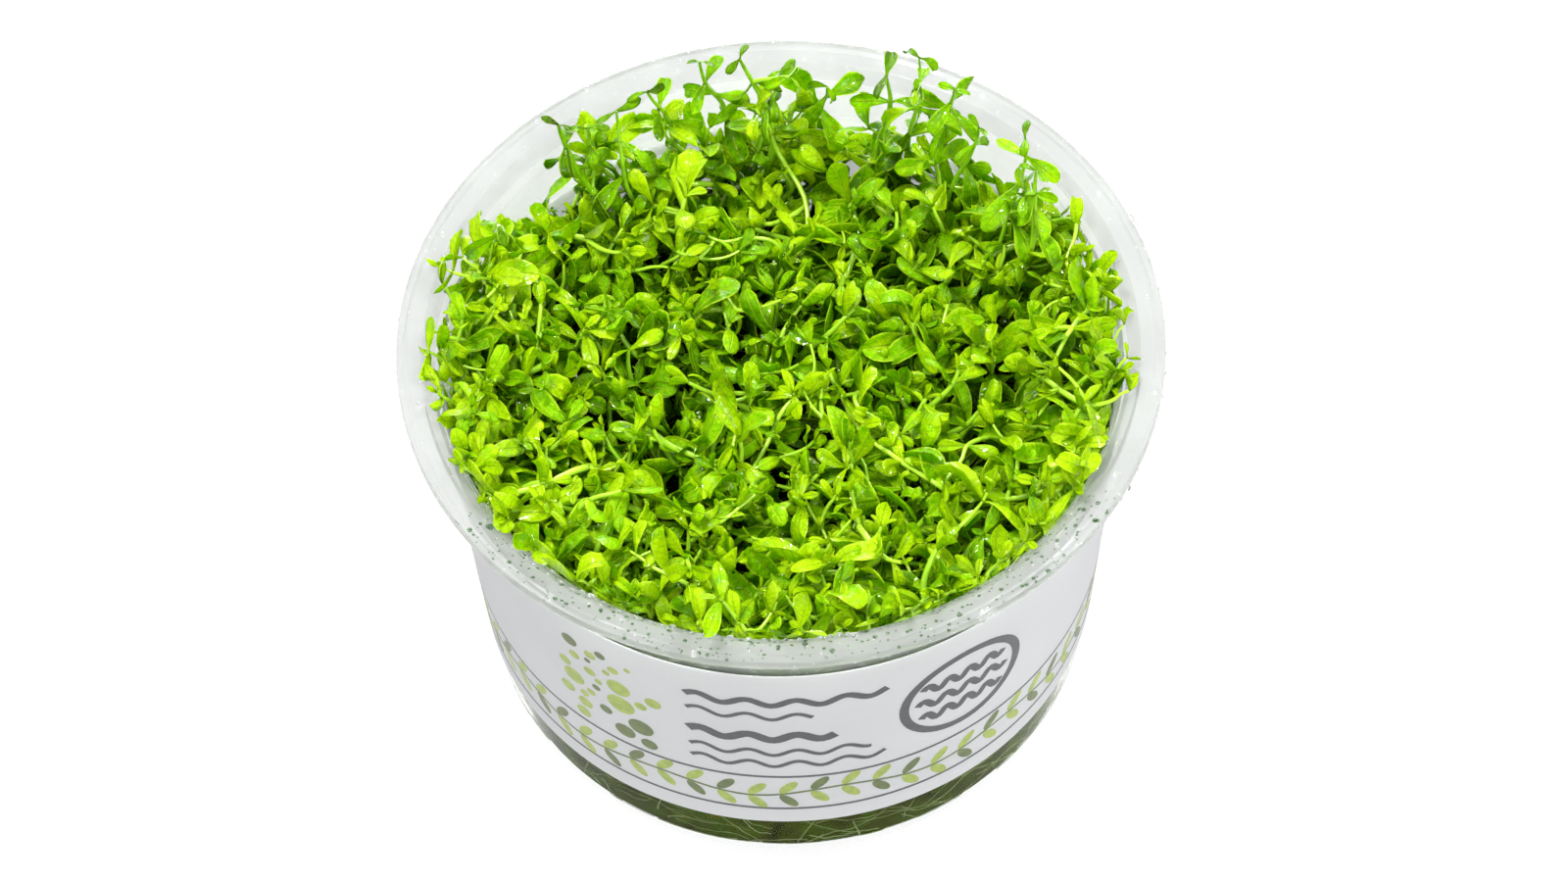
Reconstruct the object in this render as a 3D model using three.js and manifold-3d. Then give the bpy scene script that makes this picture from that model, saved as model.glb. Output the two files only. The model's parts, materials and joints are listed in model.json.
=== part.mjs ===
// Pearlweed plantlets growing in a clear round culture cup with a wrap label.
// Millimetres, +Z up. The origin is the middle of the foot ring, on the surface the cup stands on.

import * as THREE from 'three';
import { ConvexGeometry } from 'three/addons/geometries/ConvexGeometry.js';
import { mergeVertices } from 'three/addons/utils/BufferGeometryUtils.js';
import Module from 'manifold-3d';

const wasm = await Module();
wasm.setup();

// Cup
const RIM_RADIUS = 50.5;
const RIM_TOP = 64.2;
const SKIRT_HEIGHT = 1.5;
const LEDGE_RADIUS = 47.2;
const LEDGE_DROP = 0.6;
const MOUTH_RADIUS = 45.55;
const MOUTH_DROP = 2.25;
const NECK_HEIGHT = 60.4;
const WALL_TOP_RADIUS = 45.3;
const WALL_FOOT_RADIUS = 41.8;
const WALL = 0.7;
const BASE_FILLET = 4;
const FILLET_STEPS = 2;
const FOOT_INNER_RADIUS = 34;
const BASE_LIFT = 1.2;
const ROUND_SEGMENTS = 36;

// Label
const LABEL_BOTTOM = 11.7;
const LABEL_TOP = 52.5;
const LABEL_THICKNESS = 0.2;
const LABEL_SEAM = 1.6;

// Gel, and the gap that neighbouring pieces keep
const GEL_TOP = 12.6;
const MENISCUS = 0.6;
const CLEARANCE = 0.3;

// Stand of plantlets
const PLANTLET_COUNT = 38;
const PLANTLET_GAP = 0.5;
const STAND_RADIUS = 44.2;
const SEED_JITTER = 1.6;
const EVENING_ROUNDS = 3;
const SHORTEST_SIDE = 2.4;
const BACK_ROW_RADIUS = 34;

// Bush of one plantlet: its top, its widest height, and the share of its ground filled at each height
const BUSH_TOP = 54.5;
const BUSH_TOP_SPREAD = 3;
const BUSH_WAIST = 45;
const BUSH_SHOULDER_DROP = 4;
const BUSH_FOOT_FILL = 0.55;
const BUSH_WAIST_FILL = 0.98;
const BUSH_SHOULDER_FILL = 0.88;
const BUSH_TOP_FILL = 0.5;

// Leaves. A share of the length or of the half width places each corner, and tilts are radians.
const LEAF_LENGTH = 7.4;
const LEAF_WIDTH = 4.2;
const LEAF_THICKNESS = 1;
const LEAF_SHOULDER = 0.65;
const LEAF_CREST = 0.6;
const LEAF_BASE_WIDTH = 0.12;
const LEAF_TIP_WIDTH = 0.35;
const CROWN_LEAVES = 5;
const BACK_CROWN_LEAVES = 3;
const CROWN_LENGTHS = [0.8, 1.1];
const CROWN_TILTS = [0.45, 1];
const CROWN_TURN = 0.6;
const CROWN_SET_IN = 1;

// Tall stems of the back row
const TALL_STEM_TOPS = [71, 80.5];
const TALL_STEM_SPREAD = 1.8;
const TALL_STEM_LEAN = 0.9;
const TALL_STEM_BEND = 0.6;
const TALL_LEAF_LENGTH = 5.2;
const TIP_LEAF_TILT = 1.05;
const LOWER_LEAF_TILT = 0.4;
const PAIR_TURN = 0.7;
const PAIR_STEP = 0.5;
const TOP_PAIR = 0.95;
const STEM_THICKNESS = 1;
const STEM_SIDES = 4;
const STEM_STEPS = 2;

const GOLDEN_ANGLE = Math.PI * (3 - Math.sqrt(5));

const clearPlastic = new THREE.MeshStandardMaterial({ color: 0xdfe6dd, roughness: 0.08, metalness: 0 });
const labelPaper = new THREE.MeshStandardMaterial({ color: 0xf2f3f1, roughness: 0.5, metalness: 0 });
const gelOlive = new THREE.MeshStandardMaterial({ color: 0x5c6638, roughness: 0.3, metalness: 0 });
const leafGreen = new THREE.MeshStandardMaterial({ color: 0x76a818, roughness: 0.35, metalness: 0 });

// The same spread of numbers from 0 to 1 on every run.
function seededNumbers(seed) {
  let state = seed;
  return () => {
    state = (state + 0x6d2b79f5) | 0;
    let mixed = Math.imul(state ^ (state >>> 15), 1 | state);
    mixed = (mixed + Math.imul(mixed ^ (mixed >>> 7), 61 | mixed)) ^ mixed;
    return ((mixed ^ (mixed >>> 14)) >>> 0) / 4294967296;
  };
}

function between([low, high], random) {
  return THREE.MathUtils.lerp(low, high, random());
}

// Outside radius of the tapered wall at a height.
function wallRadius(height) {
  const share = (height - BASE_FILLET) / (NECK_HEIGHT - BASE_FILLET);
  return THREE.MathUtils.lerp(WALL_FOOT_RADIUS, WALL_TOP_RADIUS, share);
}

// A profile of [radius, height] points turned round the Z axis.
function turned(profile) {
  const points = profile.map(([radius, height]) => new THREE.Vector2(radius, height));
  const geometry = new THREE.LatheGeometry(points, ROUND_SEGMENTS);
  return geometry.rotateX(Math.PI / 2);
}

// Points of the rounded base corner, from the foot ring up to the wall.
function baseCorner(radius) {
  const centre = WALL_FOOT_RADIUS - BASE_FILLET;
  return Array.from({ length: FILLET_STEPS + 1 }, (_, step) => {
    const angle = (step / FILLET_STEPS) * (Math.PI / 2);
    return [centre + radius * Math.sin(angle), BASE_FILLET - radius * Math.cos(angle)];
  });
}

function cup() {
  const skirtBottom = RIM_TOP - SKIRT_HEIGHT;
  const outside = [
    [0, BASE_LIFT],
    [FOOT_INNER_RADIUS - BASE_LIFT, BASE_LIFT],
    [FOOT_INNER_RADIUS, 0],
    ...baseCorner(BASE_FILLET),
    [WALL_TOP_RADIUS, NECK_HEIGHT],
    [MOUTH_RADIUS + WALL, RIM_TOP - MOUTH_DROP - WALL / 2],
    [LEDGE_RADIUS + WALL / 2, RIM_TOP - LEDGE_DROP - WALL],
    [RIM_RADIUS - WALL, RIM_TOP - LEDGE_DROP / 2 - WALL],
    [RIM_RADIUS - WALL, skirtBottom],
    [RIM_RADIUS, skirtBottom],
    [RIM_RADIUS, RIM_TOP - WALL / 3],
    [RIM_RADIUS - WALL / 3, RIM_TOP],
  ];
  const inside = [
    [LEDGE_RADIUS, RIM_TOP - LEDGE_DROP],
    [MOUTH_RADIUS, RIM_TOP - MOUTH_DROP],
    [WALL_TOP_RADIUS - WALL, NECK_HEIGHT],
    ...baseCorner(BASE_FILLET - WALL).reverse(),
    [FOOT_INNER_RADIUS, WALL],
    [FOOT_INNER_RADIUS - BASE_LIFT, BASE_LIFT + WALL],
    [0, BASE_LIFT + WALL],
  ];
  return turned([...outside, ...inside]);
}

// A band round the wall, open at the back where the two ends of the label nearly meet.
function label() {
  const inner = wallRadius(LABEL_BOTTOM) + CLEARANCE;
  const seamAngle = LABEL_SEAM / inner;
  const start = Math.PI / 2 + seamAngle / 2;
  const end = Math.PI / 2 - seamAngle / 2 + 2 * Math.PI;
  const band = new THREE.Shape();
  band.absarc(0, 0, inner + LABEL_THICKNESS, start, end, false);
  band.absarc(0, 0, inner, end, start, true);
  const geometry = new THREE.ExtrudeGeometry(band, {
    depth: LABEL_TOP - LABEL_BOTTOM,
    bevelEnabled: false,
    curveSegments: ROUND_SEGMENTS / 2,
  });
  geometry.translate(0, 0, LABEL_BOTTOM);
  const corners = geometry.getAttribute('position');
  for (let index = 0; index < corners.count; index += 1) {
    const widening = wallRadius(corners.getZ(index)) / wallRadius(LABEL_BOTTOM);
    corners.setX(index, corners.getX(index) * widening);
    corners.setY(index, corners.getY(index) * widening);
  }
  return geometry;
}

function gel() {
  const bottom = BASE_LIFT + WALL + CLEARANCE;
  const side = (height) => wallRadius(height) - WALL - CLEARANCE;
  return turned([
    [0, bottom],
    [side(bottom) - 1, bottom],
    [side(BASE_FILLET), BASE_FILLET],
    [side(GEL_TOP), GEL_TOP + MENISCUS],
    [side(GEL_TOP) - 2 * MENISCUS, GEL_TOP],
    [0, GEL_TOP],
  ]);
}

// Root points of the plantlets, spread evenly over the cup's mouth.
function plantletSeeds(random) {
  return Array.from({ length: PLANTLET_COUNT }, (_, index) => {
    const radius = STAND_RADIUS * Math.sqrt((index + 0.5) / PLANTLET_COUNT);
    const angle = index * GOLDEN_ANGLE;
    const shift = new THREE.Vector2(random() - 0.5, random() - 0.5).multiplyScalar(2 * SEED_JITTER);
    return new THREE.Vector2(radius * Math.cos(angle), radius * Math.sin(angle)).add(shift);
  });
}

// The seeds moved to the middles of their grounds, a few times over, so that no ground is a sliver.
function evenedSeeds(seeds) {
  let evened = seeds;
  for (let round = 0; round < EVENING_ROUNDS; round += 1) {
    const before = evened;
    evened = before.map((seed) => {
      const ground = plantletGround(seed, before);
      const sum = ground.reduce((total, corner) => total.add(corner), new THREE.Vector2());
      return sum.divideScalar(ground.length);
    });
  }
  return evened;
}

// The part of an outline behind a line that runs through a point, square to a direction.
function keepBehind(outline, point, direction) {
  const ahead = (corner) => corner.clone().sub(point).dot(direction);
  return outline.flatMap((corner, index) => {
    const next = outline[(index + 1) % outline.length];
    const here = ahead(corner);
    const there = ahead(next);
    const kept = here <= 0 ? [corner] : [];
    if (here * there < 0) {
      kept.push(corner.clone().lerp(next, here / (here - there)));
    }
    return kept;
  });
}

// The ground that is nearest to one seed, less half the gap to each neighbour.
function plantletGround(seed, seeds) {
  const sides = ROUND_SEGMENTS / 2;
  let outline = Array.from({ length: sides }, (_, index) => {
    const angle = (index / sides) * 2 * Math.PI;
    return new THREE.Vector2(Math.cos(angle), Math.sin(angle)).multiplyScalar(STAND_RADIUS);
  });
  for (const other of seeds) {
    if (other === seed) continue;
    const direction = other.clone().sub(seed).normalize();
    const middle = other.clone().add(seed).multiplyScalar(0.5);
    middle.addScaledVector(direction, -PLANTLET_GAP / 2);
    outline = keepBehind(outline, middle, direction);
  }
  return outline.filter((corner, index) => {
    const next = outline[(index + 1) % outline.length];
    return corner.distanceTo(next) > SHORTEST_SIDE;
  });
}

// The ground's outline at a height, drawn in round its seed, and drawn in with the cup's taper.
function groundAt(ground, seed, share, height) {
  const taper = (wallRadius(Math.min(height, NECK_HEIGHT)) - WALL) / (WALL_TOP_RADIUS - WALL);
  return ground.map((corner) => {
    const point = seed.clone().lerp(corner, share).multiplyScalar(taper);
    return new THREE.Vector3(point.x, point.y, height);
  });
}

// A manifold solid from a closed geometry.
function solid(geometry) {
  const bare = geometry.clone();
  bare.deleteAttribute('normal');
  bare.deleteAttribute('uv');
  const merged = mergeVertices(bare);
  return new wasm.Manifold(new wasm.Mesh({
    numProp: 3,
    vertProperties: new Float32Array(merged.attributes.position.array),
    triVerts: new Uint32Array(merged.index.array),
  }));
}

function geometryOf(body) {
  const mesh = body.getMesh();
  const geometry = new THREE.BufferGeometry();
  geometry.setAttribute('position', new THREE.BufferAttribute(new Float32Array(mesh.vertProperties), 3));
  geometry.setIndex(new THREE.BufferAttribute(new Uint32Array(mesh.triVerts), 1));
  geometry.computeVertexNormals();
  return geometry;
}

// How far it is from a point inside an outline to its edge, along an azimuth.
function reach(outline, from, azimuth) {
  const heading = new THREE.Vector2(Math.cos(azimuth), Math.sin(azimuth));
  const distances = outline.map((corner, index) => {
    const side = outline[(index + 1) % outline.length].clone().sub(corner);
    const distance = corner.clone().sub(from).cross(side) / heading.cross(side);
    return distance > 0 ? distance : Infinity;
  });
  return Math.min(...distances);
}

// A rounded leaf, widest past its middle, set at a base along an azimuth and a tilt above level.
// Where its ground leaves it too little room, it stands more upright.
function leaf(ground, base, azimuth, leastTilt, length) {
  const from = new THREE.Vector2(base.x, base.y);
  const shoulder = Math.atan2(LEAF_WIDTH / 2, LEAF_SHOULDER * length);
  const reaches = [-shoulder, 0, shoulder].map((turn) => reach(ground, from, azimuth + turn));
  const room = Math.min(...reaches) - PLANTLET_GAP;
  const tilt = Math.max(leastTilt, Math.acos(THREE.MathUtils.clamp(room / length, 0, 1)));
  const half = LEAF_WIDTH / 2;
  const outline = [
    [0, LEAF_BASE_WIDTH * half],
    [LEAF_SHOULDER * length, half],
    [length, LEAF_TIP_WIDTH * half],
  ];
  const points = outline.flatMap(([along, side]) => [
    new THREE.Vector3(along, side, 0),
    new THREE.Vector3(along, -side, 0),
  ]);
  points.push(new THREE.Vector3(LEAF_CREST * length, 0, LEAF_THICKNESS / 2));
  points.push(new THREE.Vector3(LEAF_CREST * length, 0, -LEAF_THICKNESS / 2));
  const geometry = new ConvexGeometry(points);
  geometry.rotateY(-tilt);
  geometry.rotateZ(azimuth);
  geometry.translate(base.x, base.y, base.z);
  return solid(geometry);
}

// A thin bent stem through the points given.
function stem(points) {
  const path = new THREE.CatmullRomCurve3(points);
  const section = new THREE.Shape();
  section.absarc(0, 0, STEM_THICKNESS / 2, 0, 2 * Math.PI, false);
  const corners = section.getSpacedPoints(STEM_SIDES).slice(0, STEM_SIDES);
  return solid(new THREE.ExtrudeGeometry(new THREE.Shape(corners), {
    steps: STEM_STEPS,
    extrudePath: path,
    bevelEnabled: false,
  }));
}

// The dense low stems and leaves of a plantlet, as the one form that they fill.
function bush(ground, seed, top) {
  return solid(new ConvexGeometry([
    ...groundAt(ground, seed, BUSH_FOOT_FILL, GEL_TOP + CLEARANCE),
    ...groundAt(ground, seed, BUSH_WAIST_FILL, BUSH_WAIST),
    ...groundAt(ground, seed, BUSH_SHOULDER_FILL, top - BUSH_SHOULDER_DROP),
    ...groundAt(ground, seed, BUSH_TOP_FILL, top),
  ]));
}

function crownLeaves(ground, seed, top, count, random) {
  const turn = random() * Math.PI;
  return Array.from({ length: count }, (_, index) => {
    const azimuth = turn + (index / count) * 2 * Math.PI + (random() - 0.5) * CROWN_TURN;
    const tilt = between(CROWN_TILTS, random);
    const length = LEAF_LENGTH * between(CROWN_LENGTHS, random);
    const outward = new THREE.Vector2(Math.cos(azimuth), Math.sin(azimuth));
    const foot = seed.clone().addScaledVector(outward, CROWN_SET_IN);
    const base = new THREE.Vector3(foot.x, foot.y, top - CROWN_SET_IN);
    return leaf(ground, base, azimuth, tilt, length);
  });
}

// A tall stem from inside the bush, with opposite pairs of leaves, each pair turned square to the last.
function tallStem(ground, root, lean, pairs, random) {
  const top = between(TALL_STEM_TOPS, random);
  const foot = new THREE.Vector3(root.x, root.y, BUSH_WAIST);
  const tipLeafRise = TALL_LEAF_LENGTH * Math.sin(TIP_LEAF_TILT);
  const tip = new THREE.Vector3(root.x + lean.x, root.y + lean.y, top - tipLeafRise);
  const middle = foot.clone().lerp(tip, TALL_STEM_BEND);
  middle.x -= lean.x / 3;
  middle.y -= lean.y / 3;
  const pieces = [stem([foot, middle, tip])];
  const firstTurn = Math.PI / 4 + (random() - 0.5) * PAIR_TURN;
  for (let pair = 0; pair < pairs; pair += 1) {
    const node = middle.clone().lerp(tip, TOP_PAIR - pair * PAIR_STEP);
    const tilt = pair === 0 ? TIP_LEAF_TILT : LOWER_LEAF_TILT;
    for (const side of [0, Math.PI]) {
      const azimuth = firstTurn + (pair * Math.PI) / 2 + side;
      const outward = new THREE.Vector3(Math.cos(azimuth), Math.sin(azimuth), 0);
      const base = node.clone().addScaledVector(outward, STEM_THICKNESS / 5);
      pieces.push(leaf(ground, base, azimuth, tilt, TALL_LEAF_LENGTH));
    }
  }
  return pieces;
}

// Two tall stems side by side along the wall, one with a single pair of leaves and one with two.
function tallStems(ground, seed, random) {
  const along = new THREE.Vector2(-seed.y, seed.x).normalize();
  return [[-1, 1], [1, 2]].flatMap(([side, pairs]) => {
    const root = seed.clone().addScaledVector(along, side * TALL_STEM_SPREAD);
    const lean = along.clone().multiplyScalar(side * TALL_STEM_LEAN);
    return tallStem(ground, root, lean, pairs, random);
  });
}

function plantlet(seed, ground, random) {
  const top = BUSH_TOP + (random() - 0.5) * 2 * BUSH_TOP_SPREAD;
  const inBackRow = seed.y > 0 && seed.length() > BACK_ROW_RADIUS;
  const crownCount = inBackRow ? BACK_CROWN_LEAVES : CROWN_LEAVES;
  const pieces = [bush(ground, seed, top), ...crownLeaves(ground, seed, top, crownCount, random)];
  if (inBackRow) {
    pieces.push(...tallStems(ground, seed, random));
  }
  return geometryOf(wasm.Manifold.union(pieces));
}

const pearlweed = new THREE.Group();

function add(name, geometry, material) {
  const mesh = new THREE.Mesh(geometry, material);
  mesh.name = name;
  pearlweed.add(mesh);
}

add('cup', cup(), clearPlastic);
add('label', label(), labelPaper);
add('culture_gel', gel(), gelOlive);

const random = seededNumbers(9);
const seeds = evenedSeeds(plantletSeeds(random));
seeds.forEach((seed, index) => {
  const name = `plantlet_${String(index + 1).padStart(2, '0')}`;
  add(name, plantlet(seed, plantletGround(seed, seeds), random), leafGreen);
});

export default pearlweed;
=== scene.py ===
"""Pearlweed growing in a clear culture cup: the finished looks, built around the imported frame."""

import json
import math
import random

import bmesh
import bpy
import numpy as np
from mathutils import Matrix, Vector, noise

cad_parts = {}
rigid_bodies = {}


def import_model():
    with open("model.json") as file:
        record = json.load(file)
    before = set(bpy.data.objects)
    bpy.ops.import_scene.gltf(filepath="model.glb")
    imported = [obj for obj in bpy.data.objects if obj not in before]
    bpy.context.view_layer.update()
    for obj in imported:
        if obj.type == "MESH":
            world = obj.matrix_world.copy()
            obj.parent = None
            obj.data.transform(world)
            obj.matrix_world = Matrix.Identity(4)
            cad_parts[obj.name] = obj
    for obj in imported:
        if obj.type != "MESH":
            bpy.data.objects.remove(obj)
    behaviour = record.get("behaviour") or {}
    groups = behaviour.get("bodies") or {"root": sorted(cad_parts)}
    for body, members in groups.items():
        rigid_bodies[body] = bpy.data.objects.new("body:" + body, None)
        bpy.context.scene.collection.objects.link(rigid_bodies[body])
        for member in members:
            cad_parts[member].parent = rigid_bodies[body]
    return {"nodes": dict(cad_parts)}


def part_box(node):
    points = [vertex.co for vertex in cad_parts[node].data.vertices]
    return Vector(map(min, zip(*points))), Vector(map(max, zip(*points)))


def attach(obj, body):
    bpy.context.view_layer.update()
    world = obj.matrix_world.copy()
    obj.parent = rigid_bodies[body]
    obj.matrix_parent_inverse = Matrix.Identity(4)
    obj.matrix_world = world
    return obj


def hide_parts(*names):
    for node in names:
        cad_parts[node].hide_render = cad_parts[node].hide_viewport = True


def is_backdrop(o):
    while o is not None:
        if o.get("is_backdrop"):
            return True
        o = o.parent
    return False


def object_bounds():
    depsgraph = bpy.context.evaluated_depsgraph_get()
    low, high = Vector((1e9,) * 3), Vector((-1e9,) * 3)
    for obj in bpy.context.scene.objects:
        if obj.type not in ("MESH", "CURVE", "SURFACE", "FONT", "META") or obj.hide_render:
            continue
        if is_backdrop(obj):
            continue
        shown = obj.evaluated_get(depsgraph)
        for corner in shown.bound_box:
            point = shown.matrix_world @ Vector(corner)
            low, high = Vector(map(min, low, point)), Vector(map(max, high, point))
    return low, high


MM = 0.001
UP = Vector((0, 0, 1))

# Cup, as in the solids: radii and heights in millimetres
WALL_FOOT_RADIUS = 41.8
WALL_TOP_RADIUS = 45.3
WALL_FOOT_HEIGHT = 4.0
NECK_FOOT = 55.2
NECK_HEIGHT = 60.4
WALL = 0.7
RIM_TOP = 64.2
LEDGE_RADIUS = 47.2
FLANGE_FOOT = 62.2
TURNED_SEGMENTS = 180

# Each corner of the cup's section: radius, height, and the rounding of that corner
CUP_SECTION = (
    (0, 1.2, 0),
    (32.8, 1.2, 0.8),
    (34, 0, 0.6),
    (41.55, 0, 3.8),
    (44.75, 51.6, 0),
    (44.975, 55.2, 0),
    (45.3, 60.4, 1.6),
    (46.25, 61.75, 0.5),
    (47.55, 63.0, 0.5),
    (49.8, 63.2, 0.25),
    (49.8, 62.7, 0.06),
    (50.5, 62.7, 0.12),
    (50.5, 64.2, 0.3),
    (49.5, 64.15, 0.3),
    (49.0, 63.85, 0.3),
    (47.2, 63.6, 0.4),
    (45.6, 62.0, 0.5),
    (44.6, 60.4, 1.4),
    (44.275, 55.2, 0),
    (44.05, 51.6, 0),
    (40.85, 0.7, 3.1),
    (34, 0.7, 0.5),
    (32.8, 1.9, 0.7),
    (0, 1.9, 0),
)

# Label
LABEL_BOTTOM = 11.7
LABEL_TOP = 52.5
LABEL_THICKNESS = 0.2
LABEL_CLEARANCE = 0.3
LABEL_SEAM = 1.6
LABEL_STEPS = 240
INK_DEPTH = 0.05
INK_RISE = 0.015
PRINT_HEIGHT = 37.5
EMBLEM_RADIUS = 9
FRIEZE_HEIGHT = LABEL_BOTTOM + 8.5
FRIEZE_PITCH = 4.4

# Gel
GEL_TOP = 12.6
GEL_GAP = 0.05

# Stand of shoots. A habit gives the sizes of the leaf pairs from the tip down, as shares of the leaf
# length, and the gaps between them in millimetres. The last of each holds for the rest of the shoot.
CARPET_SHOOTS = 226
CARPET_RADIUS = 43.6
CARPET_HEIGHT = 56.5
CARPET_SWELL = 3.0
CARPET_UNEVENNESS = 2.4
TALLER_SHARE = 0.2
LEAF_LENGTH = 7.9
TIP_HABITS = (
    ((0.32, 0.78, 1.0), (0.9, 3.6, 5.6, 6.2)),
    ((0.48, 0.88, 1.0), (1.8, 4.4, 6.0, 6.4)),
    ((0.70, 1.0), (5.2, 6.2, 6.8)),
)
SIDE_SHOOT_SHARE = 0.5
STEM_WIDTH = 0.86
ROOTS_PER_PLANTLET = 8

# The carpet is lower at the back wall, higher along the rest of the wall, and has one hollow
BACK_DIP = 4.4
EDGE_LIFT = 4.4
HOLLOW = Vector((4, 23, 0))
HOLLOW_DEPTH = 5.5
HOLLOW_RADIUS = 8.0

# Millimetres under the canopy past which shoots have no side shoots, and past which their leaves are
# of the plain kind, with the tone given, a painted deep shade. Below LEAF_FLOOR they are bare.
SIDE_SHOOT_DEPTH = 14
PLAIN_DEPTH = 13
DEEP_SHADE_TONE = -1.0
LEAF_FLOOR = 34

# Tone of the shoots in the middle of the stand, and how much lighter the ones along the wall are painted,
# as painted light
MIDDLE_TONE = -0.04
WALL_PAINTED_LIGHT = 0.12

# Shoots along the front and sides of the mouth, whose leaves lie against the rim
EDGE_SHOOTS = 80
EDGE_RADIUS = 43.2
EDGE_START = -215
EDGE_END = 35

# Tall sprigs along the back wall: azimuth in degrees, and height of the tip
BACK_SPRIGS = (
    (158, 71), (136, 76), (129, 71), (122, 71), (115, 72), (104, 75), (96, 74), (88, 71),
    (79, 68), (67, 73), (60, 79), (52, 76), (46, 71), (33, 77), (29, 73),
)
SPRIG_RADIUS = 39.5
SPRIG_LEAF_LENGTH = 6.5
SPRIG_HABIT = ((0.46, 0.74, 1.0), (4.2, 4.4, 4.8))

# Shoots of middling height between the sprigs
BACK_SHOOTS = 13
BACK_SHOOT_START = 22
BACK_SHOOT_END = 158

# Thin bare shoots that rise out of the carpet at all slants
RISERS = 82
RISER_LEAF_LENGTH = 6.2
RISER_HABITS = (
    ((0.30, 0.62, 0.9), (0.7, 6.0, 6.8)),
    ((0.52, 0.8, 0.9), (6.5, 6.5, 7.0)),
)

# Beads of moisture, with few faces because they are tiny
BEAD_SIDES = 8
BEAD_ROWS = 5

# Camera: angles in degrees, distances in metres, and the lens in millimetres
CAMERA_ELEVATION = 55.18
CAMERA_DISTANCE = 0.640
CAMERA_TARGET = Vector((-0.000015, 0, 0.040295))
CAMERA_ROLL = -2.03
CAMERA_LENS = 108.5


def wall_radius(height):
    """Outside radius of the tapered wall at a height, in millimetres."""
    share = (height - WALL_FOOT_HEIGHT) / (NECK_HEIGHT - WALL_FOOT_HEIGHT)
    return WALL_FOOT_RADIUS + (WALL_TOP_RADIUS - WALL_FOOT_RADIUS) * share


# Helpers for node trees and objects

def add_node(tree, kind, inputs=None, **settings):
    """A new node. Each input is a value or a socket to link from, found by its name or identifier."""
    node = tree.nodes.new(kind)
    for name, value in settings.items():
        setattr(node, name, value)
    for name, value in (inputs or {}).items():
        socket = next(s for s in node.inputs if s.enabled and name in (s.name, s.identifier))
        if isinstance(value, bpy.types.NodeSocket):
            tree.links.new(value, socket)
        else:
            socket.default_value = value
    return node


def result(node, name=None):
    """The socket that a node gives its result on."""
    return next(s for s in node.outputs if s.enabled and name in (None, s.name, s.identifier))


def output_of(tree, kind, inputs=None, pick=None, **settings):
    """The result of a new node: its first output, or the one that pick names."""
    return result(add_node(tree, kind, inputs, **settings), pick)


def calculate(tree, operation, *values):
    """The result of a sum on up to three values, each a number or a socket to link from."""
    inputs = dict(zip(("Value", "Value_001", "Value_002"), values))
    return output_of(tree, "ShaderNodeMath", inputs, operation=operation)


def put_in_scene(name, data):
    thing = bpy.data.objects.new(name, data)
    bpy.context.scene.collection.objects.link(thing)
    return thing


def new_mesh_object(name, vertices, faces, materials, smooth=True):
    mesh = bpy.data.meshes.new(name)
    mesh.from_pydata(vertices, [], faces)
    for material in materials:
        mesh.materials.append(material)
    if smooth:
        mesh.shade_smooth()
    return put_in_scene(name, mesh)


def level_direction(angle):
    return Vector((math.cos(angle), math.sin(angle), 0))


# Materials

def new_material(name):
    material = bpy.data.materials.new(name)
    material.use_nodes = True
    material.node_tree.nodes.clear()
    return material, material.node_tree


def finished(material, shader):
    """The material, with the shader as its surface."""
    add_node(material.node_tree, "ShaderNodeOutputMaterial", {"Surface": shader})
    return material


def noise_texture(tree, scale, detail, **inputs):
    """A grey noise that stays fixed to the object."""
    coordinates = output_of(tree, "ShaderNodeTexCoord", pick="Object")
    return output_of(tree, "ShaderNodeTexNoise",
                     {"Vector": coordinates, "Scale": scale, "Detail": detail, **inputs}, pick="Fac")


def colour_ramp(tree, factor, stops):
    """A colour that runs through stops of place and colour. A lone number stands for a grey."""
    ramp = add_node(tree, "ShaderNodeValToRGB", {"Fac": factor})
    elements = ramp.color_ramp.elements
    while len(elements) < len(stops):
        elements.new(0.5)
    for element, (place, colour) in zip(elements, stops):
        element.position = place
        element.color = (*(colour if isinstance(colour, tuple) else (colour,) * 3), 1)
    return result(ramp, "Color")


def bump(tree, height, strength, distance):
    return output_of(tree, "ShaderNodeBump",
                     {"Height": height, "Strength": strength, "Distance": distance})


def principled(tree, inputs):
    return output_of(tree, "ShaderNodeBsdfPrincipled", inputs)


def translucent(tree, inputs):
    return output_of(tree, "ShaderNodeBsdfTranslucent", inputs)


def mix_shaders(tree, share, first, second):
    return output_of(tree, "ShaderNodeMixShader",
                     {"Fac": share, "Shader": first, "Shader_001": second})


def mix_colours(tree, share, first, second):
    return output_of(tree, "ShaderNodeMix", {"Factor": share, "A": first, "B": second},
                     data_type="RGBA")


# The tone each point carries: a random tone of its own, darkened as painted shade deep in the stand and
# lightened as painted light along the wall.
def stored_tone_and_shade(tree):
    return output_of(tree, "ShaderNodeAttribute", pick="Fac", attribute_name="leaf_tone")


def let_light_through(tree, shader, tint):
    """A see-through shader whose shadow is only a light tint, so that the cup's inside is lit."""
    clear = output_of(tree, "ShaderNodeBsdfTransparent", {"Color": (*tint, 1)})
    is_shadow = output_of(tree, "ShaderNodeLightPath", pick="Is Shadow Ray")
    return mix_shaders(tree, is_shadow, shader, clear)


def clear_plastic():
    """The wall, wet on its inside, so that little shows of it in front of the gel."""
    material, tree = new_material("clear_plastic")
    plastic = principled(tree, {
        "Base Color": (0.97, 0.985, 0.97, 1),
        "Roughness": 0.02,
        "IOR": 1.04,
        "Transmission Weight": 1.0,
        "Normal": bump(tree, noise_texture(tree, 260.0, 2.0), 0.1, 0.0003),
    })
    return finished(material, let_light_through(tree, plastic, (0.95, 0.965, 0.95)))


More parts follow.
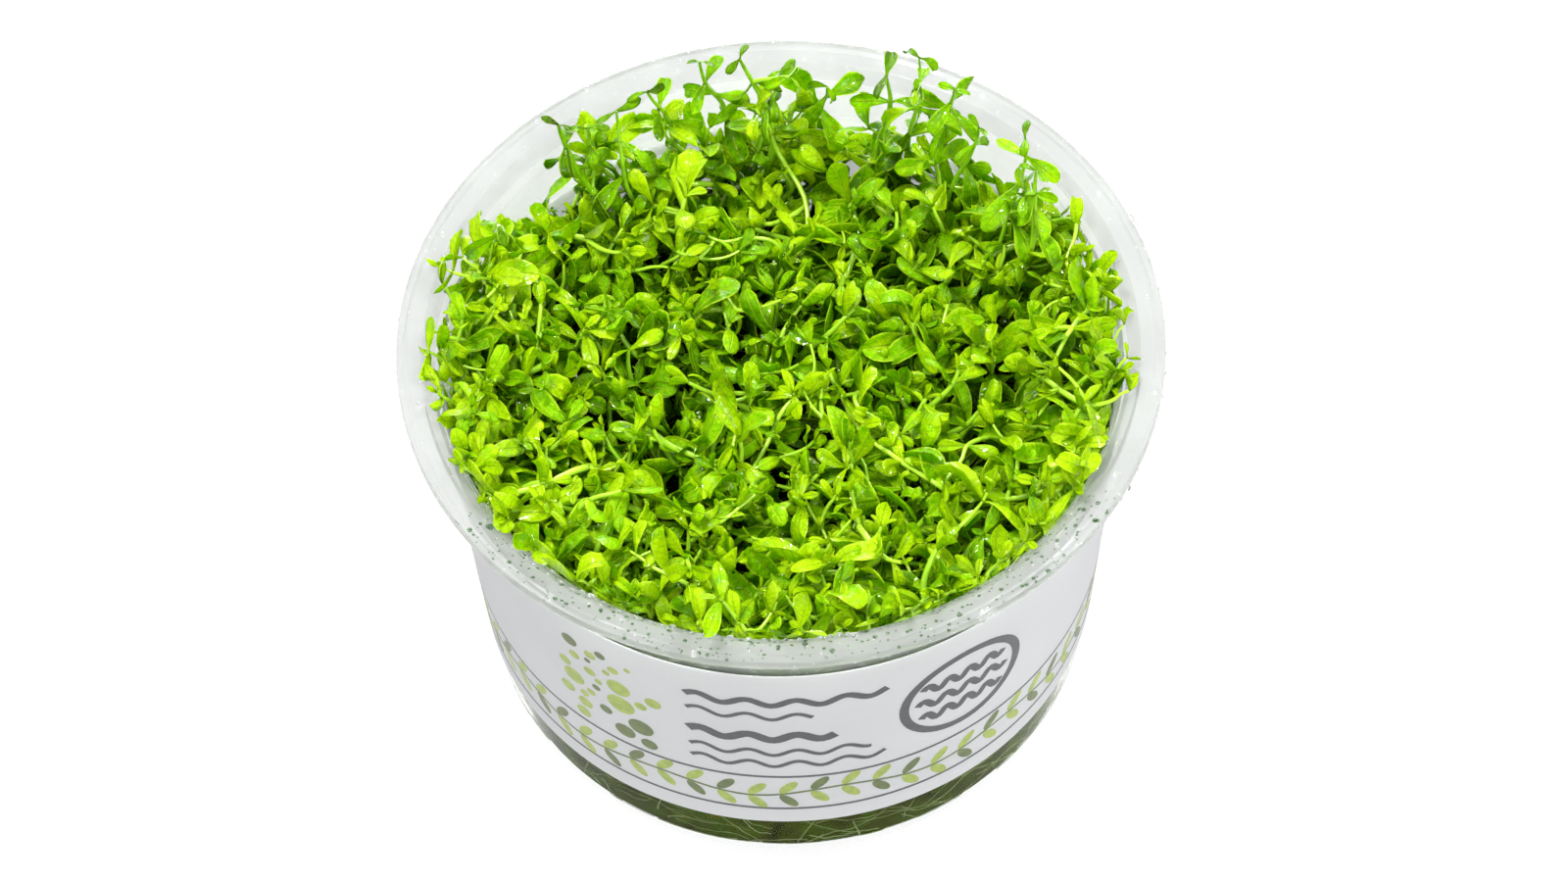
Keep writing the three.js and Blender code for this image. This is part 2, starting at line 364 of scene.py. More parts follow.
def misted_plastic(name, clearness, mistiness, roughness):
    """The rim's plastic, more or less milky from the fine mist of moisture on it."""
    material, tree = new_material(name)
    mist = noise_texture(tree, 110.0, 4.0)
    clear = principled(tree, {
        "Base Color": (*clearness, 1),
        "Roughness": roughness,
        "IOR": 1.2,
        "Transmission Weight": 1.0,
        "Normal": bump(tree, mist, 0.05, 0.0003),
    })
    grey = colour_ramp(tree, mist, [(0.35, (0.65, 0.66, 0.65)), (0.65, (0.73, 0.74, 0.73))])
    haze = principled(tree, {"Base Color": grey, "Roughness": 0.3})
    milk = mix_shaders(tree, 0.5, haze, translucent(tree, {"Color": grey}))
    mixed = mix_shaders(tree, mistiness, clear, milk)
    return finished(material, let_light_through(tree, mixed, (0.85, 0.87, 0.85)))


def water(name, tint):
    material, tree = new_material(name)
    bead = principled(tree, {
        "Base Color": (*tint, 1), "Roughness": 0.0, "IOR": 1.333, "Transmission Weight": 1.0})
    return finished(material, let_light_through(tree, bead, (0.97, 0.97, 0.97)))


def label_film():
    material, tree = new_material("label_film")
    white = colour_ramp(tree, noise_texture(tree, 60.0, 2.0),
                        [(0.3, (0.83, 0.835, 0.85)), (0.7, (0.87, 0.875, 0.89))])
    film = principled(tree, {
        "Base Color": white,
        "Roughness": 0.42,
        "Coat Weight": 0.2,
        "Coat Roughness": 0.2,
        "Normal": bump(tree, noise_texture(tree, 1400.0, 4.0), 0.08, 0.0001),
    })
    glow = translucent(tree, {"Color": (0.90, 0.90, 0.91, 1)})
    return finished(material, mix_shaders(tree, 0.46, film, glow))


def print_ink(name, dark, light):
    material, tree = new_material(name)
    colour = colour_ramp(tree, noise_texture(tree, 900.0, 3.0), [(0.35, dark), (0.65, light)])
    return finished(material, principled(tree, {
        "Base Color": colour, "Roughness": 0.45, "Coat Weight": 0.2, "Coat Roughness": 0.2}))


def growing_gel():
    material, tree = new_material("growing_gel")
    clouds = noise_texture(tree, 130.0, 5.0, Distortion=1.2)
    olive = colour_ramp(tree, clouds, [
        (0.30, (0.012, 0.016, 0.001)),
        (0.46, (0.032, 0.039, 0.002)),
        (0.56, (0.028, 0.058, 0.001)),
        (0.68, (0.070, 0.062, 0.004)),
    ])
    return finished(material, principled(tree, {
        "Base Color": olive,
        "Roughness": 0.5,
        "Specular IOR Level": 0.0,
        "Normal": bump(tree, clouds, 0.3, 0.0006),
    }))


def leaf_green(tree):
    """A mottled green, blotched with painted shadow of overlapping leaves, that runs from dark to pale with
    the stored tone, which besides the leaf's own random tone carries painted shade for leaves deep in the
    stand and painted light for those along the wall.
    """
    mottle = noise_texture(tree, 620.0, 5.0, Roughness=0.65)
    mottled = calculate(tree, "MULTIPLY_ADD", mottle, 0.95, stored_tone_and_shade(tree))
    # Larger blotches of painted shadow, for the shadows of overlapping leaves seen through the leaf
    blotched_with_shadow = calculate(tree, "MULTIPLY_ADD", noise_texture(tree, 210.0, 1.0), 0.7, mottled)
    return colour_ramp(tree, calculate(tree, "SUBTRACT", blotched_with_shadow, 0.825), [
        (0.00, (0.013, 0.062, 0.000)),
        (0.35, (0.088, 0.280, 0.000)),
        (0.65, (0.268, 0.630, 0.000)),
        (1.00, (0.520, 0.780, 0.002)),
    ])


def side_veins(tree, from_rib, along):
    """How far a spot lies on one of the side veins, which slant from the midrib towards the tip."""
    slant = calculate(tree, "MULTIPLY", from_rib, -2.6)
    rows = calculate(tree, "MULTIPLY_ADD", along, 7.0, slant)
    from_vein = calculate(tree, "PINGPONG", rows, 0.5)
    return colour_ramp(tree, from_vein, [(0.0, 0.22), (0.18, 0)])


def leaf_skin():
    """Wet leaf: a mottled green with a paler edge and midrib, darker side veins and a film of water. The
    paler edge is partly the leaf's own margin and partly painted rim light.
    """
    material, tree = new_material("leaf_skin")
    place = add_node(tree, "ShaderNodeSeparateXYZ", {
        "Vector": output_of(tree, "ShaderNodeUVMap", uv_map="leaf_map")})
    from_rib = calculate(tree, "ABSOLUTE", calculate(tree, "SUBTRACT", result(place, "X"), 0.5))
    veins = side_veins(tree, from_rib, result(place, "Y"))
    veined = mix_colours(tree, veins, leaf_green(tree), (0.030, 0.160, 0.000, 1))
    # Paler midrib, and a paler edge that is partly the leaf's own margin and partly painted rim light
    line = colour_ramp(tree, from_rib, [(0.00, 0.55), (0.06, 0.04), (0.40, 0), (0.50, 0.80)])
    lined = mix_colours(tree, line, veined, (0.68, 0.90, 0.03, 1))
    relief = calculate(tree, "MULTIPLY_ADD", line, -0.5, noise_texture(tree, 900.0, 4.0))
    normal = bump(tree, relief, 0.9, 0.0006)
    patches = noise_texture(tree, 330.0, 2.0)
    skin = principled(tree, {
        "Base Color": lined,
        "Roughness": 0.24,
        "Specular IOR Level": 0.5,
        "Specular Tint": (0.7, 1.0, 0.12, 1),
        "Coat Weight": colour_ramp(tree, patches, [(0.51, 0), (0.57, 1)]),
        "Coat Roughness": 0.07,
        "Normal": normal,
        "Coat Normal": bump(tree, patches, 0.9, 0.0012),
    })
    glow = translucent(tree, {"Color": lined, "Normal": normal})
    return finished(material, mix_shaders(tree, 0.42, skin, glow))


def stem_skin():
    material, tree = new_material("stem_skin")
    # Stems take the same stored tone, so deep ones are darker by painted shade and those along the wall
    # lighter by painted light.
    green = colour_ramp(tree, stored_tone_and_shade(tree), [
        (0.00, (0.040, 0.120, 0.000)),
        (0.45, (0.200, 0.460, 0.004)),
        (1.00, (0.460, 0.750, 0.040)),
    ])
    return finished(material, principled(tree, {
        "Base Color": green,
        "Roughness": 0.3,
        "Specular IOR Level": 0.4,
        "Specular Tint": (0.8, 1.0, 0.3, 1),
        "Coat Weight": 1.0,
        "Coat Roughness": 0.08,
        "Subsurface Weight": 0.25,
        "Subsurface Radius": (0.0006, 0.0008, 0.0002),
        "Subsurface Scale": 1.0,
        "Normal": bump(tree, noise_texture(tree, 1200.0, 2.0), 0.2, 0.0001),
    }))


def root_skin():
    material, tree = new_material("root_skin")
    pale = colour_ramp(tree, noise_texture(tree, 500.0, 2.0),
                       [(0.35, (0.09, 0.12, 0.025)), (0.65, (0.17, 0.21, 0.07))])
    return finished(material, principled(tree, {"Base Color": pale, "Roughness": 0.35}))


def pale_floor():
    """A white board, lit through from below as on a light table, so that shadows stay faint."""
    material, tree = new_material("pale_floor")
    return finished(material, principled(tree, {
        "Base Color": colour_ramp(tree, noise_texture(tree, 40.0, 3.0), [(0.3, 0.07), (0.7, 0.08)]),
        "Roughness": 0.8,
        "Specular IOR Level": 0.1,
        "Emission Color": (1, 1, 1, 1),
        "Emission Strength": 0.94,
    }))


# Turned pieces

def rounded_section(corners, steps=4):
    """The section with each corner rounded: points of radius and height."""
    points = []
    for index, (radius, height, rounding) in enumerate(corners):
        corner = Vector((radius, height))
        if rounding == 0:
            points.append(corner)
            continue
        before = Vector(corners[index - 1][:2]) - corner
        after = Vector(corners[index + 1][:2]) - corner
        half = before.angle(after) / 2
        reach = min(rounding / math.tan(half), before.length * 0.48, after.length * 0.48)
        start = corner + before.normalized() * reach
        end = corner + after.normalized() * reach
        for step in range(steps + 1):
            share = step / steps
            points.append(start.lerp(corner, share).lerp(corner.lerp(end, share), share))
    return points


def turned_piece(name, section, materials, segments=TURNED_SEGMENTS):
    """A closed section, from axis to axis, turned round the Z axis. Its first point is under its last."""
    ring = section[1:-1]
    vertices = [(0, 0, section[0].y * MM)]
    for point in ring:
        for segment in range(segments):
            angle = 2 * math.pi * segment / segments
            vertices.append((point.x * math.cos(angle) * MM, point.x * math.sin(angle) * MM, point.y * MM))
    vertices.append((0, 0, section[-1].y * MM))
    last = len(vertices) - 1
    faces = []
    for segment in range(segments):
        beside = (segment + 1) % segments
        faces.append((0, 1 + beside, 1 + segment))
        top = 1 + (len(ring) - 1) * segments
        faces.append((top + segment, top + beside, last))
        for step in range(len(ring) - 1):
            low = 1 + step * segments
            high = low + segments
            faces.append((low + segment, low + beside, high + beside, high + segment))
    return new_mesh_object(name, vertices, faces, materials)


def culture_cup(materials, starts):
    """The cup, whose plastic is mistier from each of the given heights upward."""
    cup = turned_piece("cup_shell", rounded_section(CUP_SECTION), materials)
    for face in cup.data.polygons:
        face.material_index = sum(face.center.z > start * MM for start in starts)
    return cup


def culture_gel(material):
    """The gel, which fills the cup's foot up to the wall and climbs it a little all round."""
    inset = WALL + GEL_GAP
    corners = [
        (0, 1.9 + GEL_GAP, 0), (32.8, 1.9 + GEL_GAP, 0.6), (34, 0.7 + GEL_GAP, 0.5),
        (40.8 - GEL_GAP, 0.7 + GEL_GAP, 3.0),
        (wall_radius(7) - inset, 7, 0.6), (wall_radius(10) - inset, 10, 0.6),
        (wall_radius(GEL_TOP) - inset, GEL_TOP + 0.6, 0.1),
        (wall_radius(GEL_TOP) - inset - 1.2, GEL_TOP, 0.8),
        (30, GEL_TOP, 0), (20, GEL_TOP, 0), (10, GEL_TOP, 0),
        (0, GEL_TOP, 0),
    ]
    piece = turned_piece("growing_gel_body", rounded_section(corners, 3), [material])
    for vertex in piece.data.vertices:
        if vertex.co.z > (GEL_TOP - 0.5) * MM and vertex.co.xy.length < 38 * MM:
            vertex.co.z += noise.noise(vertex.co * 180) * 0.5 * MM
    return piece


# Label and its print

def label_point(along, height, out):
    """A point of the label. along is millimetres round the cup from the middle of the front."""
    radius = (wall_radius(LABEL_BOTTOM) + LABEL_CLEARANCE) * wall_radius(height) / wall_radius(LABEL_BOTTOM)
    angle = along / WALL_TOP_RADIUS - math.pi / 2
    return level_direction(angle) * (radius + out) * MM + UP * height * MM


class LabelSheet:
    """The faces of the label: the film itself, and thin slabs of ink sunk into its outer face."""

    def __init__(self):
        self.vertices = []
        self.faces = []
        self.inks = []

    def slab(self, pairs, inner, outer, ink, closed=False):
        """A closed slab between two edges, given as pairs of (along, height) points."""
        first = len(self.vertices)
        for left, right in pairs:
            for (along, height), out in ((left, inner), (right, inner), (right, outer), (left, outer)):
                self.vertices.append(label_point(along, height, out))
        count = len(pairs)
        for index in range(count if closed else count - 1):
            here = first + 4 * index
            there = first + 4 * ((index + 1) % count)
            for side in range(4):
                beside = (side + 1) % 4
                self.faces.append((here + side, here + beside, there + beside, there + side))
                self.inks.append(ink)
        if not closed:
            end = first + 4 * (count - 1)
            self.faces.append((first + 3, first + 2, first + 1, first))
            self.faces.append((end, end + 1, end + 2, end + 3))
            self.inks += [ink, ink]

    def ink_slab(self, pairs, ink, closed=False):
        self.slab(pairs, LABEL_THICKNESS - INK_DEPTH, LABEL_THICKNESS + INK_RISE, ink, closed)


def curve_pairs(points, width):
    """The two edges of a line of even width through points."""
    pairs = []
    for index, point in enumerate(points):
        before = points[max(index - 1, 0)]
        after = points[min(index + 1, len(points) - 1)]
        across = (after - before).orthogonal().normalized() * width / 2
        pairs.append((point + across, point - across))
    return pairs


def ring_pairs(centre, radius, width, steps=48):
    directions = [Vector((math.cos(a), math.sin(a)))
                  for a in (2 * math.pi * step / steps for step in range(steps))]
    return [(centre + d * (radius + width / 2), centre + d * (radius - width / 2)) for d in directions]


def oval_pairs(centre, length, width, turn, steps=12):
    along = Vector((math.cos(turn), math.sin(turn)))
    across = along.orthogonal()
    pairs = []
    for step in range(steps + 1):
        place = -math.cos(math.pi * step / steps)
        half = max(math.sin(math.pi * step / steps), 0.02) * width / 2
        spine = centre + along * place * length / 2
        pairs.append((spine + across * half, spine - across * half))
    return pairs


GREY_INK, DEEP_GREEN_INK, FRESH_GREEN_INK = 1, 2, 3


def ripple_line(sheet, centre, length, rise, wave, width):
    """A wave line as wide as width, drawn level round the label."""
    steps = max(16, round(length / wave * 12))
    points = [centre + Vector((length * (step / steps - 0.5),
                               rise * math.sin(2 * math.pi * length / wave * step / steps)))
              for step in range(steps + 1)]
    sheet.ink_slab(curve_pairs(points, width), GREY_INK)


def wave_emblem(sheet, centre, radius):
    """A ring with three wave lines across it."""
    sheet.ink_slab(ring_pairs(centre, radius, 1.4), GREY_INK, closed=True)
    for row in (-1, 0, 1):
        half = math.sqrt(radius ** 2 - (row * radius * 0.42) ** 2) * 0.78
        ripple_line(sheet, centre + Vector((0, row * radius * 0.42)), 2 * half, radius * 0.1,
                    half * 0.5, 1.2)


def ripple_block(sheet, centre):
    """Ripples of different lengths and weights, one over another."""
    for shift, height, length, width in ((0, 8, 27, 1.3), (-5, 4.2, 17, 0.8), (-3.5, -1.5, 20, 1.7),
                                         (-1, -5.8, 25, 0.8), (0, -9, 27, 0.8)):
        ripple_line(sheet, centre + Vector((shift, height)), length, 0.75, 6.6, width)


def pearl_cluster(sheet, centre, rng):
    """Pearls of several sizes that rise in a loose column."""
    placed = []
    for attempt in range(400):
        rise = rng.random()
        spot = centre + Vector((rng.gauss(0, 3.4 - 1.8 * rise), -9 + 20 * rise))
        radius = rng.uniform(0.7, 2.3) * (1.15 - 0.5 * rise)
        if all((spot - other).length > radius + size + 0.45 for other, size in placed):
            placed.append((spot, radius))
            ink = rng.choice((DEEP_GREEN_INK, FRESH_GREEN_INK))
            sheet.ink_slab(oval_pairs(spot, 2 * radius, 2 * radius, 0, 14), ink)
        if len(placed) == 26:
            break


def leaf_frieze(sheet, height, half_round):
    """A band of paired ovals on a waving line, between two rules, all round the label."""

    def on_wave(along):
        return Vector((along, height + 0.9 * math.sin(along / 4.2)))

    steps = 480
    points = [on_wave(-half_round + 2 * half_round * step / steps) for step in range(steps + 1)]
    sheet.ink_slab(curve_pairs(points, 0.45), DEEP_GREEN_INK)
    for rule_height in (height - 4.6, height + 4.6):
        line = [Vector((point.x, rule_height)) for point in points]
        sheet.ink_slab(curve_pairs(line, 0.5), GREY_INK)
    pair = 0
    while (along := -half_round + 3 + pair * FRIEZE_PITCH) < half_round - 2:
        for side in (-1, 1):
            spot = on_wave(along) + Vector((1.0, side * 1.9))
            ink = FRESH_GREEN_INK if (pair + side) % 3 else DEEP_GREEN_INK
            sheet.ink_slab(oval_pairs(spot, 3.9, 1.7, side * 0.95), ink)
        pair += 1


def wrap_label(materials):
    sheet = LabelSheet()
    half_round = math.pi * WALL_TOP_RADIUS - LABEL_SEAM / 2
    places = [-half_round + 2 * half_round * step / LABEL_STEPS for step in range(LABEL_STEPS + 1)]
    edge = [(Vector((place, LABEL_TOP)), Vector((place, LABEL_BOTTOM))) for place in places]
    sheet.slab(edge, 0, LABEL_THICKNESS, 0)
    leaf_frieze(sheet, FRIEZE_HEIGHT, half_round)
    rng = random.Random(4)
    for third in (-1, 0, 1):
        middle = third * 2 * math.pi * WALL_TOP_RADIUS / 3
        wave_emblem(sheet, Vector((middle + 24, PRINT_HEIGHT)), EMBLEM_RADIUS)
        ripple_block(sheet, Vector((middle - 1, PRINT_HEIGHT)))
        pearl_cluster(sheet, Vector((middle - 27, PRINT_HEIGHT - 1.5)), rng)
    piece = new_mesh_object("wrap_label", sheet.vertices, sheet.faces, materials, smooth=False)
    piece.data.polygons.foreach_set("material_index", sheet.inks)
    face_outward(piece.data)
    return piece


def face_outward(mesh):
    shell = bmesh.new()
    shell.from_mesh(mesh)
    bmesh.ops.recalc_face_normals(shell, faces=shell.faces)
    shell.to_mesh(mesh)
    shell.free()


# Leaves

LEAF_ALONG = (0, 0.12, 0.26, 0.42, 0.58, 0.74, 0.88, 0.97, 1.0)
LEAF_HALF_WIDTHS = (0.05, 0.062, 0.118, 0.178, 0.214, 0.218, 0.176, 0.095, 0.0)
SMALL_LEAF_ALONG = (0, 0.28, 0.62, 0.88, 1.0)
SMALL_LEAF_HALF_WIDTHS = (0.06, 0.16, 0.23, 0.14, 0.0)


def leaf_spine(along, bend, hook):
    """Points of a leaf's midrib and its slope there, bent evenly and hooked towards the tip."""
    spots = [(Vector((0, 0, 0)), 0.0)]
    for before, place in zip(along, along[1:]):
        point, slope_before = spots[-1]
        slope = bend * place + hook * place ** 4
        middle = (slope_before + slope) / 2
        step = Vector((math.cos(middle), 0, math.sin(middle))) * (place - before)
        spots.append((point + step, slope))
    return spots


def leaf_faces(rows, tip, lanes):
    """The faces of a leaf. Each row is its upper points and the point under its midrib."""
    faces = []
    for (upper, under), (next_upper, next_under) in zip(rows, rows[1:]):
        for lane in range(lanes):
            faces.append((upper[lane], next_upper[lane], next_upper[lane + 1], upper[lane + 1]))
        faces.append((upper[0], under, next_under, next_upper[0]))
        faces.append((under, upper[-1], next_upper[-1], next_under))
    upper, under = rows[-1]
    for lane in range(lanes):
        faces.append((upper[lane], tip, upper[lane + 1]))
    faces += [(upper[0], under, tip), (under, upper[-1], tip)]
    upper, under = rows[0]
    faces.append((*upper, under))
    return faces


def sharpen_rim(mesh, rows):
    """Marks a leaf's rim as sharp, so that the shading of its two sides doesn't run together."""
    rim = {frozenset((row[end], beyond[end])) for row, beyond in zip(rows, rows[1:]) for end in (0, -1)}
    for edge in mesh.edges:
        edge.use_edge_sharp = frozenset(edge.vertices) in rim


def leaf_template(name, along, half_widths, lanes, bend, hook, cup, twist, ripple, thickness):
    """A leaf one metre long from the origin along +X, with its upper face to +Z, as a thin closed body.

    bend and hook turn its midrib, cup is how far its edges rise, twist how far its tip turns, and
    ripple how far its edges wave."""
    across = [lane / lanes * 2 - 1 for lane in range(lanes + 1)]
    vertices, maps, rows = [], [], []

    def point(row, side, lift):
        spot, slope = spine[row]
        place, half = along[row], half_widths[row]
        quilt = 0.16 * (1 - (2 * abs(side) - 1) ** 2)
        wave = ripple * side * abs(side) * math.sin(7.5 * place + 12 * ripple)
        rise = half * (cup * side * side + quilt) + wave + lift
        sideways = Vector((0, math.cos(twist * place), math.sin(twist * place)))
        upward = Vector((0, -sideways.z, sideways.y))
        offset = Matrix.Rotation(-slope, 3, "Y") @ (sideways * side * half + upward * rise)
        vertices.append(spot + offset)
        maps.append((side / 2 + 0.5, place))
        return len(vertices) - 1

    spine = leaf_spine(along, bend, hook)
    for row, place in enumerate(along[:-1]):
        thick = thickness * math.sin(math.pi * min(0.15 + 0.8 * place, 1))
        rows.append(([point(row, side, 0) for side in across], point(row, 0, -thick)))
    tip = point(len(along) - 1, 0, 0)
    leaf = new_mesh_object(name, vertices, leaf_faces(rows, tip, lanes), [])
    uv = leaf.data.uv_layers.new(name="leaf_map")
    for loop in leaf.data.loops:
        uv.data[loop.index].uv = maps[loop.vertex_index]
    face_outward(leaf.data)
    sharpen_rim(leaf.data, [upper for upper, under in rows] + [[tip]])
    return leaf


def leaf_collection(name, count, along, half_widths, lanes, liveliness, rng):
    shelf = bpy.data.collections.new(name)
    for number in range(count):
        breadth = 1 + liveliness * rng.uniform(-0.22, 0.08)
        leaf = leaf_template(f"{name}_{number}", along, [half * breadth for half in half_widths], lanes,
                             bend=liveliness * rng.uniform(-1.5, 0.7),
                             hook=liveliness * rng.uniform(-1.7, 1.2),
                             cup=0.25 + liveliness * rng.uniform(-0.6, 0.9),
                             twist=liveliness * rng.uniform(-0.9, 0.9),
                             ripple=liveliness * rng.uniform(-0.05, 0.05), thickness=0.055)
        bpy.context.scene.collection.objects.unlink(leaf)
        shelf.objects.link(leaf)
    bpy.context.scene.collection.children.link(shelf)
    return shelf


# Shoots: lines with what grows at each point, turned into stems and leaves by a node tree

class GrowthLines:
    """Polylines of one plantlet, with the width of the stem and the leaf pair at each point."""

    def __init__(self):
        self.points = []
        self.edges = []
        self.values = {name: [] for name in ("stem_width", "leaf_size", "leaf_turn", "leaf_rise",
                                             "leaf_tone", "is_root", "growth")}
        self.side_shoots = []

    def begin(self):
        self.fresh = True

    def add(self, point, stem_width, growth, leaf_size=0.0, leaf_turn=0.0, leaf_rise=0.0,
            leaf_tone=0.5, is_root=0.0):
        if not self.fresh:
            self.edges.append((len(self.points) - 1, len(self.points)))
        self.fresh = False
        self.points.append(point * MM)
        numbers = (stem_width * MM, leaf_size * MM, leaf_turn, leaf_rise, leaf_tone, is_root)
        for values, number in zip(self.values.values(), numbers):
            values.append(number)
        self.values["growth"].extend(growth)

    def to_object(self, name):
        mesh = bpy.data.meshes.new(name)
        mesh.from_pydata(self.points, self.edges, [])
        for field, values in self.values.items():
            is_vector = field == "growth"
            attribute = mesh.attributes.new(field, "FLOAT_VECTOR" if is_vector else "FLOAT", "POINT")
            attribute.data.foreach_set("vector" if is_vector else "value", values)
        return put_in_scene(name, mesh)


def canopy_height(x, y):
    """Height of the carpet of leaves over a point of the mouth, in millimetres."""
    spot = Vector((x, y, 0))
    height = CARPET_HEIGHT + CARPET_SWELL * noise.noise(spot * 0.09)
    outer = max(0.0, min(1.0, (spot.length - 26) / 15))
    behind = y / max(spot.length, 1)
    height += outer * (-BACK_DIP * behind if behind > 0.35 else EDGE_LIFT)
    return height - HOLLOW_DEPTH * math.exp(-((spot - HOLLOW).length / HOLLOW_RADIUS) ** 2)


def random_direction(rng):
    return Vector((rng.gauss(0, 1), rng.gauss(0, 1), rng.gauss(0, 1))).normalized()


def inner_limit(height):
    """Greatest radius for a plant inside the cup at a height, in millimetres."""
    if height > RIM_TOP:
        return LEDGE_RADIUS + (height - RIM_TOP) * 1.2
    if height > NECK_HEIGHT:
        share = (height - NECK_HEIGHT) / (RIM_TOP - NECK_HEIGHT)
        return WALL_TOP_RADIUS - WALL + (LEDGE_RADIUS - WALL_TOP_RADIUS) * min(share, 1)
    return wall_radius(height) - WALL


def side_shoot(lines, node, outward, size, tone, rng):
    """A short curved shoot from a leaf's corner, with one to three pairs of small leaves at its end."""
    length = rng.uniform(2.0, 6.5)
    heading = (outward * rng.uniform(0.5, 1.3) + UP * rng.uniform(0.3, 1.0)).normalized()
    sway = random_direction(rng) * 0.16
    steps = max(3, round(length / 0.8))
    pairs = rng.choice((1, 2, 2, 3))
    turn = rng.uniform(0, math.pi)
    tone += rng.uniform(-0.1, 0.25)
    lines.begin()
    point = node.copy()
    for step in range(steps + 1):
        share = step / steps
        from_tip = steps - step
        is_pair = from_tip in (0, 1, 3)[:pairs]
        leaf = size * (0.36 if from_tip == 0 else 0.68) * rng.uniform(0.8, 1.2) if is_pair else 0
        turn += math.pi / 2 if is_pair else 0
        rise = rng.uniform(0.3, 1.0) if from_tip == 0 else rng.uniform(-0.1, 0.6)
        lines.add(point, STEM_WIDTH * (0.8 - 0.3 * share) / 2, heading, leaf, turn, rise, tone)
        heading = (heading + UP * 0.10 + sway + random_direction(rng) * 0.14).normalized()
        point = point + heading * length / steps


def grow_shoot(lines, tip, lean, foot, size, habit, rng, tone_shift=0.0, side_share=SIDE_SHOOT_SHARE,
               wander=0.095, thickness=1.0, tip_rise=1.0, tip_shade=0.0):
    """One shoot, laid from its tip down to the foot of its plantlet in the gel."""
    shares, gaps = habit
    point = tip.copy()
    heading = -(UP + lean).normalized()
    drift = random_direction(rng) * 0.12
    width = thickness * STEM_WIDTH * rng.uniform(0.75, 1.25)
    travelled, pair, next_pair = 0.0, 0, 0.0
    turn = rng.uniform(0, math.pi)
    shoot_tone = rng.uniform(-0.14, 0.14) + tone_shift
    # Painted light: shoots near the wall are lighter in tone, and darken less with depth below
    nearness = (tip.xy.length / CARPET_RADIUS) ** 2
    shoot_tone += MIDDLE_TONE + WALL_PAINTED_LIGHT * nearness
    lines.begin()
    while point.z > GEL_TOP - 1.5:
        depth = max(0.0, canopy_height(point.x, point.y) + 2 - point.z)
        # Painted shade: the tone darkens with depth under the canopy, less steeply near the wall
        tone = max(0.0, 0.88 - depth / (16 + 8 * nearness)) + rng.uniform(-0.08, 0.08) + shoot_tone
        # Painted shade at the tip, which the back sprigs use for being seen against the light
        if travelled < 2:
            tone -= tip_shade
        # Leaves deep in the stand take the darkest tone, as painted shade
        if depth > PLAIN_DEPTH:
            tone = DEEP_SHADE_TONE
        leaf = rise = 0.0
        if travelled >= next_pair and point.z > LEAF_FLOOR:
            leaf = size * shares[min(pair, len(shares) - 1)] * rng.uniform(0.82, 1.14)
            rise = max(-0.3, tip_rise - 0.36 * pair) + rng.uniform(-0.4, 0.4)
            turn += math.pi / 2 + rng.uniform(-0.4, 0.4)
            next_pair = travelled + gaps[min(pair, len(gaps) - 1)] * rng.uniform(0.75, 1.25)
            pair += 1
            if travelled > 3 and depth < SIDE_SHOOT_DEPTH and rng.random() < side_share:
                outward = Vector((math.cos(turn), math.sin(turn), 0.2)) * rng.choice((-1, 1))
                lines.side_shoots.append((point.copy(), outward, size, tone))
        slim = 0.55 + 0.45 * min(1.0, travelled / 8)
        lines.add(point, width * slim / 2, -heading, leaf, turn, rise, tone)
        step = 0.8 if travelled < 14 else (1.8 if travelled < 24 else 4.0)
        drift = drift * 0.84 + random_direction(rng) * wander
        to_foot = (foot - point).normalized()
        pull = 0.03 + 0.22 * min(1.0, travelled / 32)
        heading = (heading * (1 - pull) + to_foot * pull + drift).normalized()
        if heading.z > -0.12 and travelled > 5:
            heading.z = -0.12 - 0.02 * travelled
            heading.normalize()
        point = point + heading * step
        limit = inner_limit(point.z) - 1.0
        if point.xy.length > limit:
            point.xy = point.xy.normalized() * limit
        travelled += step


def lay_roots(lines, foot, rng):
    """Pale roots that wander out through the gel and along its outer face."""
    azimuth = math.atan2(foot.y, foot.x)
    near_wall = foot.xy.length > 26
    for number in range(ROOTS_PER_PLANTLET if near_wall else 3):
        lines.begin()
        angle = azimuth + rng.uniform(-0.35, 0.35)
        height = rng.uniform(3, GEL_TOP)
        climb = rng.uniform(-1.2, 1.2)
        swing = rng.choice((-1, 1)) * rng.uniform(0.006, 0.024)
        width = rng.uniform(0.04, 0.1)
        for step in range(rng.randint(10, 20)):
            radius = wall_radius(height) - WALL - GEL_GAP + rng.uniform(-0.04, 0.02)
            if not near_wall:
                radius = foot.xy.length + 3 + step * 0.3
            spot = Vector((math.cos(angle) * radius, math.sin(angle) * radius, height))
            lines.add(spot, width, UP, is_root=1.0)
            angle += swing + rng.uniform(-0.006, 0.006)
            climb = climb * 0.92 + rng.uniform(-0.35, 0.35)
            height = min(GEL_TOP - 0.2, max(2.9, height + climb))


def geometry_tree(name, inputs):
    """A geometry node tree with the inputs given, each with its type, and the sockets of its input."""
    tree = bpy.data.node_groups.new(name, "GeometryNodeTree")
    sockets = {"Geometry": "Geometry", **inputs}
    for socket, kind in sockets.items():
        tree.interface.new_socket(socket, in_out="INPUT", socket_type=f"NodeSocket{kind}")
    tree.interface.new_socket("Geometry", in_out="OUTPUT", socket_type="NodeSocketGeometry")
    return tree, tree.nodes.new("NodeGroupInput").outputs


def finished_tree(tree, geometry):
    """The tree, with the geometry as its output."""
    tree.links.new(geometry, tree.nodes.new("NodeGroupOutput").inputs[0])
    return tree


def set_material(tree, geometry, material, **inputs):
    return output_of(tree, "GeometryNodeSetMaterial",
                     {"Geometry": geometry, "Material": material, **inputs})


def join_geometry(tree, parts):
    joined = add_node(tree, "GeometryNodeJoinGeometry")
    for part in parts:
        tree.links.new(part, joined.inputs[0])
    return result(joined)


